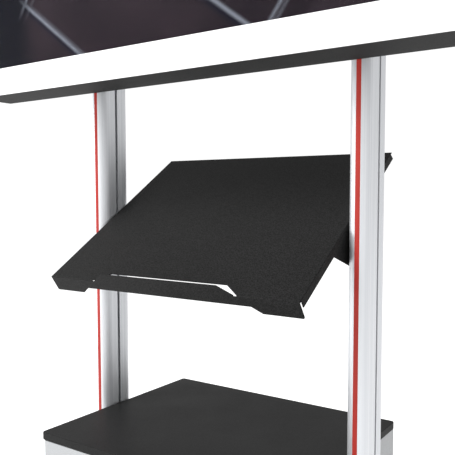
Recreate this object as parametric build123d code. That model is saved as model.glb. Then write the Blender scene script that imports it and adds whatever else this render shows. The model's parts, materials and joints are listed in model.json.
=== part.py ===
"""Two-column display workstation with a tilting keyboard tray and a low cabinet.

Millimetres. +Z is up, the user stands on the -Y side, +X is the user's right.
The origin is on the floor, midway between the columns.
"""
import os
from math import cos, radians, sin

from build123d import *

# --- Columns -----------------------------------------------------------------------------
COLUMN_X = 328.4  # from the middle of the workstation to a column's centre
COLUMN_WIDTH = 44.0
COLUMN_DEPTH = 89.0
COLUMN_TOP_Z = 1880.0
WALL = 3.0
WEB = 2.5
CHAMBER_DEPTH = 25.5  # from web to web, front to rear, round the slot nuts
SLOT_WIDTH = 7.0
SLOT_BACK_X = 8.75  # from the column's centre to the middle of the wall behind a slot
BOSS_Y = 28.0  # screw bosses inside the two end chambers
BOSS_RADIUS = 7.0
INSERT_WIDTH = 9.5
INSERT_THICKNESS = 2.6
CAP_THICKNESS = 4.0
CAP_EDGE_RADIUS = 1.5
COLUMN_FACE_X = COLUMN_X - COLUMN_WIDTH / 2  # the side face towards the tray

# --- Base --------------------------------------------------------------------------------
RUNNER_WIDTH = 60.0
RUNNER_HEIGHT = 40.0
RUNNER_LENGTH = 700.0
RUNNER_WALL = 3.0
RUNNER_CORNER_RADIUS = 5.0
RUNNER_BOTTOM_Z = 22.0
RUNNER_TOP_Z = RUNNER_BOTTOM_Z + RUNNER_HEIGHT
END_CAP_THICKNESS = 4.0
END_CAP_EDGE_RADIUS = 2.0
END_CAP_PLUG_LENGTH = 12.0
END_CAP_PLUG_GAP = 0.2
BASE_PLATE_LENGTH = 170.0
BASE_PLATE_THICKNESS = 8.0
BASE_PLATE_CORNER_RADIUS = 6.0
BASE_SCREW_X = 18.0
BASE_SCREW_Y = 68.0
BASE_SCREW_DEPTH = 5.0
COUNTERSINK_DEPTH = 4.0
COLUMN_SCREW_DEPTH = 30.0
COLUMN_BOTTOM_Z = RUNNER_TOP_Z + BASE_PLATE_THICKNESS
FOOT_Y = 310.0
FOOT_PAD_RADIUS = 24.0
FOOT_PAD_HEIGHT = 8.0
FOOT_PAD_CHAMFER = 2.0
FOOT_HEXAGON_RADIUS = 9.5
FOOT_STUD_RADIUS = 5.0
FOOT_STUD_TOP_Z = 50.0
FOOT_BUSH_RADIUS = 11.0
FOOT_BUSH_HEIGHT = 14.0
CROSS_TUBE_Z = 114.0
CROSS_TUBE_SIZE = 40.0
CROSS_TUBE_WALL = 2.0
CROSS_PLATE_HEIGHT = 78.0
CROSS_PLATE_DEPTH = 60.0
CROSS_BOLT_OFFSET = 27.0
TUBE_CORNER_RADIUS = 4.0

# --- Cabinet -----------------------------------------------------------------------------
CABINET_TOP_Z = 480.0
TOP_WIDTH = 600.0
TOP_DEPTH = 475.0
TOP_THICKNESS = 16.0
TOP_CORNER_RADIUS = 6.0
BODY_WIDTH = 598.0
BODY_DEPTH = 473.0
BODY_BOTTOM_Z = 155.0
BODY_TOP_Z = CABINET_TOP_Z - TOP_THICKNESS
BOARD = 18.0
BACK_BOARD = 8.0
BOARD_EDGE_RADIUS = 0.8
SHELF_Z = 305.0
SHELF_THICKNESS = 16.0
SHELF_SETBACK = 20.0
SHELF_PLAY = 0.5
PEG_RADIUS = 2.5
PEG_DEPTH = 9.0
PEG_SPACING = 32.0
PEG_ROWS = 5
PEG_INSET = 50.0
CABLE_HOLE_X = 200.0
CABLE_HOLE_Z = 410.0
CABLE_HOLE_RADIUS = 30.0
SPACER_RADIUS = 10.0
CABINET_BOLT_HEIGHTS = (230.0, 400.0)

# --- Cabinet door ------------------------------------------------------------------------
DOOR_GAP = 0.5
DOOR_END_GAP = 2.0
DOOR_SIDE_GAP = 1.0
DOOR_HINGE_EDGE_RADIUS = 8.0  # clears the side board as the door swings
DOOR_FREE_EDGE_RADIUS = 1.5
HINGE_X = -290.0
HINGE_PIN_RADIUS = 3.0
HINGE_PIN_IN_DOOR = 12.0
HINGE_PIN_IN_TOP = 8.0
HINGE_PLATE_THICKNESS = 3.0
HINGE_PLATE_REACH = 12.0
HINGE_PLATE_TAIL = 40.0
LOCK_X = 265.0
LOCK_Z = 330.0
LOCK_RADIUS = 9.0
LOCK_FLANGE = 3.0
KEYWAY_WIDTH = 1.6
KEYWAY_HEIGHT = 8.0
KEYWAY_DEPTH = 8.0
CAM_REACH = 26.0
CAM_WIDTH = 12.0
CAM_THICKNESS = 3.0
CAM_Y = -206.0
CAM_CLEARANCE = 3.0
KNOB_DROP = 70.0
KNOB_PROFILE = ((0, 0), (7, 0), (6, 12), (13, 17), (13, 24), (10, 27), (0, 27), (0, 0))  # radius, height

DOOR_FRONT_Y = -BODY_DEPTH / 2
DOOR_REAR_Y = DOOR_FRONT_Y + BOARD
DOOR_Z = (BODY_BOTTOM_Z + DOOR_END_GAP, BODY_TOP_Z - DOOR_END_GAP)
HINGE_Y = (DOOR_FRONT_Y + DOOR_REAR_Y) / 2
SIDE_FRONT_Y = DOOR_REAR_Y + DOOR_GAP
BODY_REAR_Y = BODY_DEPTH / 2
SIDE_REAR_Y = BODY_REAR_Y - BACK_BOARD
SIDE_INNER_X = BODY_WIDTH / 2 - BOARD

# --- Display -----------------------------------------------------------------------------
DISPLAY_BOTTOM_Z = 1216.5
DISPLAY_WIDTH = 1270.0
DISPLAY_HEIGHT = 775.0
DISPLAY_FRONT_Y = -155.0
DISPLAY_REAR_Y = -51.5
DISPLAY_CORNER_RADIUS = 4.0
DISPLAY_EDGE_RADIUS = 1.0
FRAME_THICKNESS = 2.0
HOUSING_WALL = 2.0
SCREEN_WIDTH = 1210.0
SCREEN_HEIGHT = 680.0
SCREEN_SETBACK = 0.6
SCREEN_BOTTOM_Z = DISPLAY_BOTTOM_Z + 61.0
LCD_MARGIN = 6.0
LCD_THICKNESS = 16.0
CONTROLLER_X = (-180.0, 60.0)
CONTROLLER_Z = (1520.0, 1680.0)
CONTROLLER_DEPTH = 26.0
SUPPLY_X = (90.0, 200.0)
SUPPLY_Z = (1500.0, 1700.0)
SUPPLY_DEPTH = 36.0
BRACKET_HEIGHTS = (1380.0, 1780.0)
BRACKET_HEIGHT = 120.0
BRACKET_THICKNESS = 6.0
BRACKET_REACH = 60.0
BRACKET_REAR_Y = 16.0
BRACKET_BEND_RADIUS = 4.0
BRACKET_BOLT_OFFSET = 40.0
VENT_COLUMNS = 11
VENT_ROWS = 3
VENT_LENGTH = 50.0
VENT_WIDTH = 5.0
VENT_PITCH_X = 70.0
VENT_PITCH_Z = 14.0
VENT_MARGIN = 50.0
BEAD_PLACES = (410.0, 480.0, 550.0)  # raised stiffening beads, either side of the middle
BEAD_WIDTH = 9.0
BEAD_END_RADIUS = 4.0
BEAD_HEIGHT = 2.5
BEAD_MARGIN = 110.0
CONNECTOR_X = (-150.0, 115.0)
CONNECTOR_Z = (1400.0, 1460.0)
CONNECTOR_DEPTH = 24.0  # from the housing's back to the face of the panel
CONNECTOR_SHEET = 1.5
# Signal sockets: x, width, height
SOCKET_SIZES = ((-125.0, 15.0, 5.6), (-95.0, 15.0, 5.6), (-62.0, 13.5, 5.6), (-36.0, 13.5, 5.6))
SOCKET_WALL = 0.9
SOCKET_DEPTH = 12.0
SOCKET_FLOOR = 2.0
AUDIO_X = -8.0
AUDIO_RADIUS = 4.0
AUDIO_BORE_RADIUS = 1.75
INLET_X = 80.0
INLET_WIDTH = 28.0
INLET_HEIGHT = 20.0
INLET_WALL = 2.0
INLET_DEPTH = 17.0
INLET_FLANGE = 3.0
INLET_PINS = ((-5.0, -3.0), (5.0, -3.0), (0.0, 3.0))  # x and z from the middle of the inlet
INLET_PIN_WIDTH = 2.0
INLET_PIN_HEIGHT = 4.0
INLET_PIN_LENGTH = 10.0

DISPLAY_X = (-DISPLAY_WIDTH / 2, DISPLAY_WIDTH / 2)
DISPLAY_Z = (DISPLAY_BOTTOM_Z, DISPLAY_BOTTOM_Z + DISPLAY_HEIGHT)
SCREEN_X = (-SCREEN_WIDTH / 2, SCREEN_WIDTH / 2)
SCREEN_Z = (SCREEN_BOTTOM_Z, SCREEN_BOTTOM_Z + SCREEN_HEIGHT)
FRAME_REAR_Y = DISPLAY_FRONT_Y + FRAME_THICKNESS
HOUSING_INNER_Y = DISPLAY_REAR_Y - HOUSING_WALL
CONNECTOR_FACE_Y = DISPLAY_REAR_Y - CONNECTOR_DEPTH
CONNECTOR_MIDDLE_Z = sum(CONNECTOR_Z) / 2

# --- Tray --------------------------------------------------------------------------------
TRAY_TILT = 33.37
TRAY_WIDTH = 602.0
TRAY_LENGTH = 478.0
TRAY_FRONT_Y = -205.0
TRAY_FRONT_Z = 808.0
SHEET = 2.0
BEND_RADIUS = 1.8
SIDE_FLANGE = 16.0
FRONT_FLANGE = 35.9
FRONT_FLANGE_TRIM = 1.0  # taken off each end of the front flange
FLANGE_CORNER_RADIUS = 3.0
CORNER_SLIT = 4.5
NOTCH_HEIGHT = 22.0
NOTCH_TOP_HALF = 200.0
NOTCH_BOTTOM_HALF = 220.0
LIP_HEIGHT = 19.0
LIP_TOP_HALF = 141.0
LIP_BOTTOM_HALF = 170.0
HOLE_NEAR_HALF = 177.0
HOLE_FAR_HALF = 142.0
HOLE_DEPTH = 24.5
EAR_START = 140.0
EAR_END = 273.0
EAR_DEPTH = 85.0
EAR_SLOPE_RUN = 55.0
EAR_CORNER_RADIUS = 12.0
PIVOT_BELOW = 58.0  # below the panel's top face

HALF = TRAY_WIDTH / 2
TRAY_ANGLE = radians(TRAY_TILT)
TRAY_NORMAL = (0, -sin(TRAY_ANGLE), cos(TRAY_ANGLE))
TRAY_PLANE = Plane(origin=(0, TRAY_FRONT_Y, TRAY_FRONT_Z), x_dir=(1, 0, 0), z_dir=TRAY_NORMAL)
PIVOT_ALONG = (-TRAY_FRONT_Y - PIVOT_BELOW * sin(TRAY_ANGLE)) / cos(TRAY_ANGLE)  # puts the pivot at Y = 0
PIVOT_Z = TRAY_PLANE.from_local_coords(Vector(0, PIVOT_ALONG, -PIVOT_BELOW)).Z

# --- Fasteners and clearances ------------------------------------------------------------
BOLT_RADIUS = 3.0
BOLT_HEAD_RADIUS = 5.0
BOLT_HEAD_HEIGHT = 6.0
BOLT_END = 2.0  # thread that stands out of a nut
HEX_KEY_RADIUS = 2.9
HEX_KEY_DEPTH = 3.0
RUNNING_CLEARANCE = 0.05
BODY_GAP = 0.3  # between pieces that move past each other
NUT_THICKNESS = 6.0
NUT_WIDTH = 20.0
NUT_HEIGHT = 30.0
NUT_CORNER_RADIUS = 2.0
WASHER_RADIUS = 9.0
WASHER_THICKNESS = 1.5
GUIDE_HALF_WIDTH = 16.0
GUIDE_HALF_HEIGHT = 20.0
GUIDE_CORNER_RADIUS = 6.0
TONGUE_HALF_HEIGHT = 16.0
CUT = 1.0  # how far a cutting shape runs past the face it cuts

OUTER_WASHER_X = (HALF + BODY_GAP, HALF + BODY_GAP + WASHER_THICKNESS)
INNER_WASHER_X = (HALF - SHEET - BODY_GAP - WASHER_THICKNESS, HALF - SHEET - BODY_GAP)


# --- Helpers -----------------------------------------------------------------------------
def block(x_range, y_range, z_range):
    """Rectangular block between two limits on each axis."""
    sizes = [high - low for low, high in (x_range, y_range, z_range)]
    middle = [(high + low) / 2 for low, high in (x_range, y_range, z_range)]
    return Pos(*middle) * Box(*sizes)


def board(x_range, y_range, z_range):
    """Block with slightly rounded edges."""
    shape = block(x_range, y_range, z_range)
    return fillet(shape.edges(), BOARD_EDGE_RADIUS)


def rod_x(x_range, y, z, radius):
    """Cylinder along X."""
    low, high = x_range
    return Pos((low + high) / 2, y, z) * Rot(0, 90, 0) * Cylinder(radius, high - low)


def rod_y(x, y_range, z, radius):
    """Cylinder along Y."""
    low, high = y_range
    return Pos(x, (low + high) / 2, z) * Rot(90, 0, 0) * Cylinder(radius, high - low)


def rod_z(x, y, z_range, radius):
    """Cylinder along Z."""
    low, high = z_range
    return Pos(x, y, (low + high) / 2) * Cylinder(radius, high - low)


def rounded(width, height, radius):
    """Rectangle with round corners, as a sketch."""
    sketch = Rectangle(width, height)
    return fillet(sketch.vertices(), radius)


def group(solids):
    """Several separate solids kept together as one node."""
    return Compound(children=list(solids))


def mirrored(shape):
    """The same piece on the other side of the workstation."""
    return mirror(shape, about=Plane.YZ)


# --- Columns -----------------------------------------------------------------------------
def stadium():
    """Outline of a column: straight sides with a round nose front and rear."""
    return SlotOverall(COLUMN_DEPTH, COLUMN_WIDTH, rotation=90)


def nose_strip(side):
    """Section of the insert that fills the groove in one nose; side is -1 at the front."""
    centre = side * (COLUMN_DEPTH / 2 - INSERT_THICKNESS / 2)
    return stadium() & Pos(0, centre) * Rectangle(INSERT_WIDTH, INSERT_THICKNESS)


def column_end_chamber(side):
    """Web, rib, screw boss and nose pad inside one end of the extrusion."""
    nose = COLUMN_DEPTH / 2
    web_centre = CHAMBER_DEPTH / 2 + WEB / 2
    rib_length = nose - WALL / 2 - web_centre
    pad_thickness = INSERT_THICKNESS + WALL
    chamber = Pos(0, side * web_centre) * Rectangle(COLUMN_WIDTH - WALL, WEB)
    chamber += Pos(0, side * (web_centre + rib_length / 2)) * Rectangle(WEB, rib_length)
    chamber += Pos(0, side * BOSS_Y) * Circle(BOSS_RADIUS)
    pad = Pos(0, side * (nose - pad_thickness / 2)) * Rectangle(INSERT_WIDTH + 2 * WALL, pad_thickness)
    return chamber + (pad & stadium())


def column_section():
    """Hollow extrusion with a slot in each side face and a screw boss at each end."""
    section = stadium() - offset(stadium(), -WALL)
    for side in (-1, 1):
        section += column_end_chamber(side)
        section -= Pos(0, side * BOSS_Y) * Circle(BOLT_RADIUS)
        section -= nose_strip(side)
    section -= Rectangle(COLUMN_WIDTH + WALL, SLOT_WIDTH)
    for side in (-1, 1):
        section += Pos(side * SLOT_BACK_X, 0) * Rectangle(WEB, CHAMBER_DEPTH + WEB)
    return section


def column():
    """Right column, standing on its base plate."""
    length = COLUMN_TOP_Z - COLUMN_BOTTOM_Z
    return Pos(COLUMN_X, 0, COLUMN_BOTTOM_Z) * extrude(column_section(), length)


def nose_insert(side):
    """Flush strip in one nose groove of the right column."""
    length = COLUMN_TOP_Z - COLUMN_BOTTOM_Z
    return Pos(COLUMN_X, 0, COLUMN_BOTTOM_Z) * extrude(nose_strip(side), length)


def column_cap():
    """Plate that closes the top of the right column."""
    plate = Pos(COLUMN_X, 0, COLUMN_TOP_Z) * extrude(stadium(), CAP_THICKNESS)
    return fillet(plate.edges().group_by(Axis.Z)[-1], CAP_EDGE_RADIUS)


# --- Base --------------------------------------------------------------------------------
def foot_runner():
    """Rectangular tube with a threaded bush over each levelling foot."""
    outer = rounded(RUNNER_WIDTH, RUNNER_HEIGHT, RUNNER_CORNER_RADIUS)
    inner = rounded(RUNNER_WIDTH - 2 * RUNNER_WALL, RUNNER_HEIGHT - 2 * RUNNER_WALL, RUNNER_CORNER_RADIUS / 2)
    tube = extrude(Plane.XZ * (outer - inner), RUNNER_LENGTH / 2, both=True)
    runner = Pos(COLUMN_X, 0, RUNNER_BOTTOM_Z + RUNNER_HEIGHT / 2) * tube
    floor_z = RUNNER_BOTTOM_Z + RUNNER_WALL
    for y in (-FOOT_Y, FOOT_Y):
        bush_z = (floor_z - CUT, floor_z + FOOT_BUSH_HEIGHT)
        bore_z = (RUNNER_BOTTOM_Z - CUT, floor_z + FOOT_BUSH_HEIGHT + CUT)
        runner += rod_z(COLUMN_X, y, bush_z, FOOT_BUSH_RADIUS)
        runner -= rod_z(COLUMN_X, y, bore_z, FOOT_STUD_RADIUS + RUNNING_CLEARANCE)
    for x, y in base_screw_places():
        runner -= rod_z(x, y, (RUNNER_TOP_Z - 2 * RUNNER_WALL, RUNNER_TOP_Z + CUT), BOLT_RADIUS)
    return runner


def end_cap(side):
    """Plug in one open end of the right runner; side is -1 at the front."""
    plug_width = RUNNER_WIDTH - 2 * (RUNNER_WALL + END_CAP_PLUG_GAP)
    plug_height = RUNNER_HEIGHT - 2 * (RUNNER_WALL + END_CAP_PLUG_GAP)
    cap = extrude(Plane.XZ * rounded(RUNNER_WIDTH, RUNNER_HEIGHT, RUNNER_CORNER_RADIUS), END_CAP_THICKNESS)
    cap = fillet(cap.edges().group_by(Axis.Y)[0], END_CAP_EDGE_RADIUS)
    cap += extrude(Plane.XZ * rounded(plug_width, plug_height, RUNNER_WALL), -END_CAP_PLUG_LENGTH)
    cap = Pos(COLUMN_X, -RUNNER_LENGTH / 2, RUNNER_BOTTOM_Z + RUNNER_HEIGHT / 2) * cap
    return cap if side < 0 else mirror(cap, about=Plane.XZ)


def levelling_foot(side):
    """Pad with a hexagon and a stud, screwed fully into the right runner."""
    y = side * FOOT_Y
    pad = rod_z(COLUMN_X, y, (0, FOOT_PAD_HEIGHT), FOOT_PAD_RADIUS)
    pad = chamfer(pad.edges().group_by(Axis.Z)[-1], FOOT_PAD_CHAMFER)
    hexagon_height = RUNNER_BOTTOM_Z - BODY_GAP - FOOT_PAD_HEIGHT
    hexagon = extrude(RegularPolygon(FOOT_HEXAGON_RADIUS, 6), hexagon_height)
    hexagon = Pos(COLUMN_X, y, FOOT_PAD_HEIGHT) * hexagon
    return pad + hexagon + rod_z(COLUMN_X, y, (FOOT_PAD_HEIGHT, FOOT_STUD_TOP_Z), FOOT_STUD_RADIUS)


def base_screw_places():
    """Centres of the four screws that hold the right base plate to its runner."""
    return [(COLUMN_X + x, y) for x in (-BASE_SCREW_X, BASE_SCREW_X) for y in (-BASE_SCREW_Y, BASE_SCREW_Y)]


def base_plate():
    """Plate under the right column, with plain and countersunk holes."""
    y_range = (-BASE_PLATE_LENGTH / 2, BASE_PLATE_LENGTH / 2)
    x_range = (COLUMN_X - RUNNER_WIDTH / 2, COLUMN_X + RUNNER_WIDTH / 2)
    plate = block(x_range, y_range, (RUNNER_TOP_Z, COLUMN_BOTTOM_Z))
    plate = fillet(plate.edges().filter_by(Axis.Z), BASE_PLATE_CORNER_RADIUS)
    for x, y in base_screw_places():
        plate -= rod_z(x, y, (RUNNER_TOP_Z - CUT, COLUMN_BOTTOM_Z + CUT), BOLT_RADIUS)
    for screw in column_screws():
        plate -= screw
    return plate


def base_screws():
    """Cap screws from the right base plate into its runner."""
    screws = []
    for x, y in base_screw_places():
        head_top = COLUMN_BOTTOM_Z + BOLT_HEAD_HEIGHT
        shank = rod_z(x, y, (RUNNER_TOP_Z - BASE_SCREW_DEPTH, COLUMN_BOTTOM_Z), BOLT_RADIUS)
        head = rod_z(x, y, (COLUMN_BOTTOM_Z, head_top), BOLT_HEAD_RADIUS)
        key = Pos(x, y, head_top) * extrude(RegularPolygon(HEX_KEY_RADIUS, 6), -HEX_KEY_DEPTH)
        screws.append(shank + head - key)
    return screws


def column_screws():
    """Countersunk screws up through the base plate into the right column's bosses."""
    screws = []
    for y in (-BOSS_Y, BOSS_Y):
        cone = Cone(BOLT_RADIUS + COUNTERSINK_DEPTH, BOLT_RADIUS, COUNTERSINK_DEPTH)
        head = Pos(COLUMN_X, y, RUNNER_TOP_Z + COUNTERSINK_DEPTH / 2) * cone
        shank_z = (RUNNER_TOP_Z + COUNTERSINK_DEPTH / 2, COLUMN_BOTTOM_Z + COLUMN_SCREW_DEPTH)
        screws.append(head + rod_z(COLUMN_X, y, shank_z, BOLT_RADIUS))
    return screws


def cross_bolt_heights():
    """Heights of the bolts through each end plate of the cross tube."""
    return [CROSS_TUBE_Z - CROSS_BOLT_OFFSET, CROSS_TUBE_Z + CROSS_BOLT_OFFSET]


def cross_tube_plate():
    """Right end plate of the cross tube."""
    x_range = (COLUMN_FACE_X - BRACKET_THICKNESS, COLUMN_FACE_X)
    z_range = (CROSS_TUBE_Z - CROSS_PLATE_HEIGHT / 2, CROSS_TUBE_Z + CROSS_PLATE_HEIGHT / 2)
    plate = block(x_range, (-CROSS_PLATE_DEPTH / 2, CROSS_PLATE_DEPTH / 2), z_range)
    plate = fillet(plate.edges().filter_by(Axis.X), TUBE_CORNER_RADIUS)
    for z in cross_bolt_heights():
        plate -= rod_x((x_range[0] - CUT, x_range[1] + CUT), 0, z, BOLT_RADIUS)
    return plate


def cross_tube():
    """Square tube under the cabinet with an end plate welded to each end."""
    inner_size = CROSS_TUBE_SIZE - 2 * CROSS_TUBE_WALL
    section = rounded(CROSS_TUBE_SIZE, CROSS_TUBE_SIZE, TUBE_CORNER_RADIUS)
    section -= Rectangle(inner_size, inner_size)
    tube = extrude(Plane.YZ * section, COLUMN_FACE_X - BRACKET_THICKNESS, both=True)
    plate = cross_tube_plate()
    return Pos(0, 0, CROSS_TUBE_Z) * tube + plate + mirrored(plate)


# --- Slot bolts and nuts -----------------------------------------------------------------
def slot_bolt(z, grip):
    """Bolt along X into the right column's slot, holding a piece as thick as grip."""
    head_face = COLUMN_FACE_X - grip
    shank = rod_x((head_face, COLUMN_FACE_X + WALL + NUT_THICKNESS + BOLT_END), 0, z, BOLT_RADIUS)
    head = rod_x((head_face - BOLT_HEAD_HEIGHT, head_face), 0, z, BOLT_HEAD_RADIUS)
    key = extrude(Plane.YZ * RegularPolygon(HEX_KEY_RADIUS, 6), HEX_KEY_DEPTH)
    return shank + head - Pos(head_face - BOLT_HEAD_HEIGHT, 0, z) * key


def slot_nut(z, gap=0.0):
    """Nut behind the inner slot of the right column, gap away from its wall."""
    x = COLUMN_FACE_X + WALL + gap
    z_range = (z - NUT_HEIGHT / 2, z + NUT_HEIGHT / 2)
    nut = block((x, x + NUT_THICKNESS), (-NUT_WIDTH / 2, NUT_WIDTH / 2), z_range)
    nut = fillet(nut.edges().filter_by(Axis.X), NUT_CORNER_RADIUS)
    return nut - rod_x((x - CUT, x + NUT_THICKNESS + CUT), 0, z, BOLT_RADIUS)


def bracket_bolt_heights():
    """Heights of the bolts that hold the display brackets to a column."""
    offsets = (-BRACKET_BOLT_OFFSET, BRACKET_BOLT_OFFSET)
    return [middle + step for middle in BRACKET_HEIGHTS for step in offsets]


def frame_bolts():
    """Slot bolts of the cross tube and of the display brackets, right side."""
    return [slot_bolt(z, BRACKET_THICKNESS) for z in cross_bolt_heights() + bracket_bolt_heights()]


def frame_nuts():
    """Slot nuts that stay where they are bolted, right side."""
    heights = cross_bolt_heights() + list(CABINET_BOLT_HEIGHTS) + bracket_bolt_heights()
    return [slot_nut(z) for z in heights]


# --- Cabinet -----------------------------------------------------------------------------
def cabinet_top():
    """Dark board over the cabinet, flush with its sides, with a socket for the upper hinge pin."""
    x_range = (-TOP_WIDTH / 2, TOP_WIDTH / 2)
    top = block(x_range, (-TOP_DEPTH / 2, TOP_DEPTH / 2), (BODY_TOP_Z, CABINET_TOP_Z))
    top = fillet(top.edges().filter_by(Axis.Z), TOP_CORNER_RADIUS)
    top = fillet(top.edges().group_by(Axis.Z)[-1], BOARD_EDGE_RADIUS)
    socket_z = (BODY_TOP_Z - CUT, BODY_TOP_Z + HINGE_PIN_IN_TOP + CUT)
    return top - rod_z(HINGE_X, HINGE_Y, socket_z, HINGE_PIN_RADIUS + RUNNING_CLEARANCE)


def peg_rows_y():
    """Front-to-back positions of the two rows of peg holes in a side board."""
    return (SIDE_FRONT_Y + PEG_INSET, SIDE_REAR_Y - PEG_INSET)


def cabinet_side():
    """Right side board with peg holes and holes for the bolts to the column."""
    side = board((SIDE_INNER_X, BODY_WIDTH / 2), (SIDE_FRONT_Y, SIDE_REAR_Y), (BODY_BOTTOM_Z, BODY_TOP_Z))
    lowest = SHELF_Z - PEG_RADIUS - PEG_SPACING * (PEG_ROWS // 2)
    for y in peg_rows_y():
        for row in range(PEG_ROWS):
            z = lowest + PEG_SPACING * row
            side -= rod_x((SIDE_INNER_X - CUT, SIDE_INNER_X + PEG_DEPTH), y, z, PEG_RADIUS)
    for z in CABINET_BOLT_HEIGHTS:
        side -= rod_x((SIDE_INNER_X - CUT, BODY_WIDTH / 2 + CUT), 0, z, BOLT_RADIUS)
    return side


def lock_mortise():
    """Pocket in the right side board that the lock's cam turns into."""
    x_range = (SIDE_INNER_X - CUT, LOCK_X + CAM_REACH + CAM_CLEARANCE)
    y_range = (CAM_Y - CAM_CLEARANCE, CAM_Y + CAM_THICKNESS + CAM_CLEARANCE)
    z_range = (LOCK_Z - CAM_WIDTH / 2 - CAM_CLEARANCE, LOCK_Z + CAM_REACH + CAM_CLEARANCE)
    return block(x_range, y_range, z_range)


def cabinet_floor():
    """Bottom board between the sides."""
    z_range = (BODY_BOTTOM_Z, BODY_BOTTOM_Z + BOARD)
    return board((-SIDE_INNER_X, SIDE_INNER_X), (SIDE_FRONT_Y, SIDE_REAR_Y), z_range)


def cabinet_back():
    """Thin rear board with a round cable outlet in its upper corner."""
    back = board((-BODY_WIDTH / 2, BODY_WIDTH / 2), (SIDE_REAR_Y, BODY_REAR_Y), (BODY_BOTTOM_Z, BODY_TOP_Z))
    return back - rod_y(CABLE_HOLE_X, (SIDE_REAR_Y - CUT, BODY_REAR_Y + CUT), CABLE_HOLE_Z, CABLE_HOLE_RADIUS)


def shelf():
    """Loose shelf that lies on the pegs."""
    x_range = (-SIDE_INNER_X + SHELF_PLAY, SIDE_INNER_X - SHELF_PLAY)
    y_range = (SIDE_FRONT_Y + SHELF_SETBACK, SIDE_REAR_Y - SHELF_PLAY)
    return board(x_range, y_range, (SHELF_Z, SHELF_Z + SHELF_THICKNESS))


def shelf_pegs():
    """Two pegs on the right side, in the middle row of holes."""
    x_range = (SIDE_INNER_X - PEG_DEPTH, SIDE_INNER_X + PEG_DEPTH)
    return [rod_x(x_range, y, SHELF_Z - PEG_RADIUS, PEG_RADIUS) for y in peg_rows_y()]


def cabinet_spacers():
    """Round spacers between the right side board and its column."""
    x_range = (BODY_WIDTH / 2, COLUMN_FACE_X)
    bore_x = (x_range[0] - CUT, x_range[1] + CUT)
    spacers = []
    for z in CABINET_BOLT_HEIGHTS:
        spacers.append(rod_x(x_range, 0, z, SPACER_RADIUS) - rod_x(bore_x, 0, z, BOLT_RADIUS))
    return spacers


def cabinet_bolts():
    """Long bolts through the right side board and its spacers into the column."""
    return [slot_bolt(z, COLUMN_FACE_X - SIDE_INNER_X) for z in CABINET_BOLT_HEIGHTS]


# --- Cabinet door ------------------------------------------------------------------------
def door():
    """Overlay door, hinged at its left edge, with that edge rounded to clear the side board."""
    x_range = (-BODY_WIDTH / 2 + DOOR_SIDE_GAP, BODY_WIDTH / 2 - DOOR_SIDE_GAP)
    panel = block(x_range, (DOOR_FRONT_Y, DOOR_REAR_Y), DOOR_Z)
    panel = fillet(panel.edges().filter_by(Axis.Z).group_by(Axis.X)[0], DOOR_HINGE_EDGE_RADIUS)
    panel = fillet(panel.edges().filter_by(Axis.Z).group_by(Axis.X)[-1], DOOR_FREE_EDGE_RADIUS)
    panel = fillet(panel.edges().group_by(Axis.Z)[0] + panel.edges().group_by(Axis.Z)[-1], BOARD_EDGE_RADIUS)
    for pin in hinge_pins():
        panel -= pin
    through = (DOOR_FRONT_Y - CUT, DOOR_REAR_Y + CUT)
    panel -= rod_y(LOCK_X, through, LOCK_Z, LOCK_RADIUS + RUNNING_CLEARANCE)
    return panel - rod_y(LOCK_X, through, LOCK_Z - KNOB_DROP, BOLT_RADIUS)


def hinge_pins():
    """Pins at the bottom and top of the door, on its hinge line."""
    low, high = DOOR_Z
    lower_z = (BODY_BOTTOM_Z - HINGE_PLATE_THICKNESS, low + HINGE_PIN_IN_DOOR)
    upper_z = (high - HINGE_PIN_IN_DOOR, BODY_TOP_Z + HINGE_PIN_IN_TOP)
    return [rod_z(HINGE_X, HINGE_Y, z_range, HINGE_PIN_RADIUS) for z_range in (lower_z, upper_z)]


def hinge_plate():
    """Plate screwed under the left side board that carries the lower hinge pin."""
    z_range = (BODY_BOTTOM_Z - HINGE_PLATE_THICKNESS, BODY_BOTTOM_Z)
    y_range = (DOOR_FRONT_Y, SIDE_FRONT_Y + HINGE_PLATE_TAIL)
    plate = block((-BODY_WIDTH / 2, HINGE_X + HINGE_PLATE_REACH), y_range, z_range)
    plate = fillet(plate.edges().filter_by(Axis.Z), HINGE_PLATE_THICKNESS)
    bore_z = (z_range[0] - CUT, z_range[1] + CUT)
    return plate - rod_z(HINGE_X, HINGE_Y, bore_z, HINGE_PIN_RADIUS + RUNNING_CLEARANCE)


def door_knob():
    """Turned knob with a screw shank through the door."""
    z = LOCK_Z - KNOB_DROP
    knob = revolve(Plane.XZ * make_face(Polyline(*KNOB_PROFILE)), Axis.Z)
    knob = Pos(LOCK_X, DOOR_FRONT_Y, z) * Rot(90, 0, 0) * knob
    return knob + rod_y(LOCK_X, (DOOR_FRONT_Y, DOOR_REAR_Y), z, BOLT_RADIUS)


def door_lock():
    """Cam lock: a flanged barrel through the door with a cam that points up when open."""
    face_y = DOOR_FRONT_Y - BODY_GAP
    front_y = face_y - LOCK_FLANGE
    lock = rod_y(LOCK_X, (face_y, CAM_Y), LOCK_Z, LOCK_RADIUS)
    lock += rod_y(LOCK_X, (front_y, face_y), LOCK_Z, LOCK_RADIUS + LOCK_FLANGE)
    cam = block((LOCK_X - CAM_WIDTH / 2, LOCK_X + CAM_WIDTH / 2), (CAM_Y, CAM_Y + CAM_THICKNESS),
                (LOCK_Z - CAM_WIDTH / 2, LOCK_Z + CAM_REACH))
    lock += fillet(cam.edges().filter_by(Axis.Y), CAM_THICKNESS)
    keyway_x = (LOCK_X - KEYWAY_WIDTH / 2, LOCK_X + KEYWAY_WIDTH / 2)
    keyway_z = (LOCK_Z - KEYWAY_HEIGHT / 2, LOCK_Z + KEYWAY_HEIGHT / 2)
    return lock - block(keyway_x, (front_y - CUT, front_y + KEYWAY_DEPTH), keyway_z)


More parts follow.
